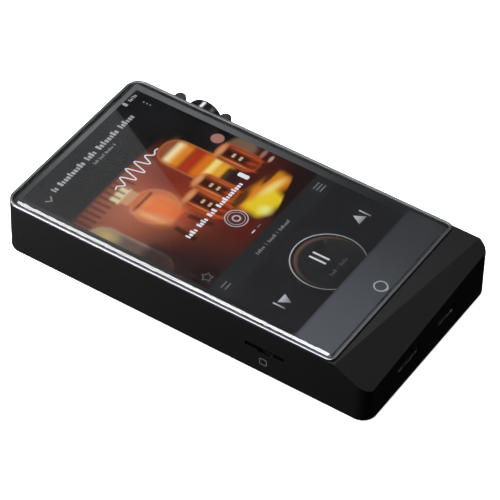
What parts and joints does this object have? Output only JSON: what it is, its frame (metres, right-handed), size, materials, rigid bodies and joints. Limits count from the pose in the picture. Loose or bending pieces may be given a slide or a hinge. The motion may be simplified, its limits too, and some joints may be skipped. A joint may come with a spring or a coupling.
{
  "type": "digital audio player",
  "caption": "Slab-shaped portable audio player with a glass touch front, sloping chin, side volume knob between guard bars, side keys and plug sockets on both ends.",
  "frame": {"origin": "centre of the rear cover's outer face, which the player rests on", "axes": "+Z out of the screen, +Y towards the headphone sockets, +X towards the volume knob"},
  "size_m": [0.0701, 0.121, 0.018],
  "materials": {
    "black_anodised": "fine bead blasted and black anodised, satin",
    "grey_anodised": "brushed and clear anodised, dark grey",
    "cover_glass": "polished, edges ground to a curve",
    "black_rubber": "matt",
    "border_ink": "screen printed under the glass",
    "home_ink": "screen printed under the glass",
    "display_glass": "laminated, lit from behind when on",
    "white_plastic": "moulded",
    "amber_film": "polyimide film with copper",
    "bare_aluminium": "die cast, as cast",
    "green_board": "solder mask over glass fibre",
    "blue_board": "solder mask over glass fibre",
    "chip_resin": "moulded resin",
    "tinned_steel": "tin plated sheet",
    "socket_steel": "drawn stainless steel",
    "grey_silicone": "soft silicone pad",
    "black_plastic": "moulded",
    "battery_wrap": "laminated foil pouch",
    "red_insulation": "extruded insulation",
    "capacitor_case": "moulded resin",
    "gold_plate": "gold plated",
    "turned_brass": "turned",
    "black_steel": "black oxide",
    "polished_black": "turned, polished and black anodised"
  },
  "bodies": {
    "player": {"housing": "black_anodised", "rim": "grey_anodised", "cover_glass": "cover_glass", "glass_glue": "black_rubber", "ink_border": "border_ink", "home_ring": "home_ink", "touch_layer": "display_glass", "display_panel": "display_glass", "backlight": "white_plastic", "display_flex": "amber_film", "midframe": "bare_aluminium", "antenna": "amber_film", "mainboard": "green_board", "processor": "chip_resin", "memory_chip": "chip_resin", "flash_chip": "chip_resin", "power_chip": "chip_resin", "processor_shield": "tinned_steel", "thermal_pad": "grey_silicone", "radio_shield": "tinned_steel", "usb_socket": "socket_steel", "link_socket": "socket_steel", "card_base": "black_plastic", "card_cage": "tinned_steel", "battery": "battery_wrap", "battery_leads": "red_insulation", "battery_plug": "white_plastic", "battery_pad": "grey_silicone", "ribbon": "amber_film", "audio_board": "blue_board", "converter_chips": "chip_resin", "clock_cans": "tinned_steel", "audio_shield": "tinned_steel", "amplifier_chips": "chip_resin", "audio_capacitors": "capacitor_case", "phones_jack": "black_plastic", "line_jack": "black_plastic", "balanced_jack": "black_plastic", "socket_rings": "gold_plate", "end_plate": "black_anodised", "plate_screws": "black_steel", "encoder_case": "tinned_steel", "encoder_neck": "turned_brass", "encoder_nut": "tinned_steel", "knob_guards": "black_anodised", "side_board": "green_board", "tact_switches": "tinned_steel", "rear_cover": "black_anodised", "cover_screws": "black_steel", "pillars": "turned_brass", "board_screws": "black_steel"},
    "plunger": {"encoder_plunger": "white_plastic"},
    "knob": {"knob_shaft": "tinned_steel", "volume_knob": "polished_black", "knob_cap": "polished_black"},
    "forward_key": {"forward_button": "black_anodised"},
    "play_key": {"play_button": "black_anodised"},
    "back_key": {"back_button": "black_anodised"}
  },
  "joints": [
    {"name": "knob_press", "type": "slide", "parent": "player", "child": "plunger", "axis": [-1, 0, 0], "range_m": [0, 0.0005], "stiffness_N_per_m": 5000, "springref_m": -0.0003},
    {"name": "knob_turn", "type": "hinge", "parent": "plunger", "child": "knob", "pos_m": [0.0352, 0.0388, 0.0096], "axis": [1, 0, 0], "continuous": true},
    {"name": "forward_press", "type": "slide", "parent": "player", "child": "forward_key", "axis": [-1, 0, 0], "range_m": [0, 0.0003], "stiffness_N_per_m": 4000, "springref_m": -0.0002},
    {"name": "play_press", "type": "slide", "parent": "player", "child": "play_key", "axis": [-1, 0, 0], "range_m": [0, 0.0003], "stiffness_N_per_m": 4000, "springref_m": -0.0002},
    {"name": "back_press", "type": "slide", "parent": "player", "child": "back_key", "axis": [-1, 0, 0], "range_m": [0, 0.0003], "stiffness_N_per_m": 4000, "springref_m": -0.0002}
  ]
}
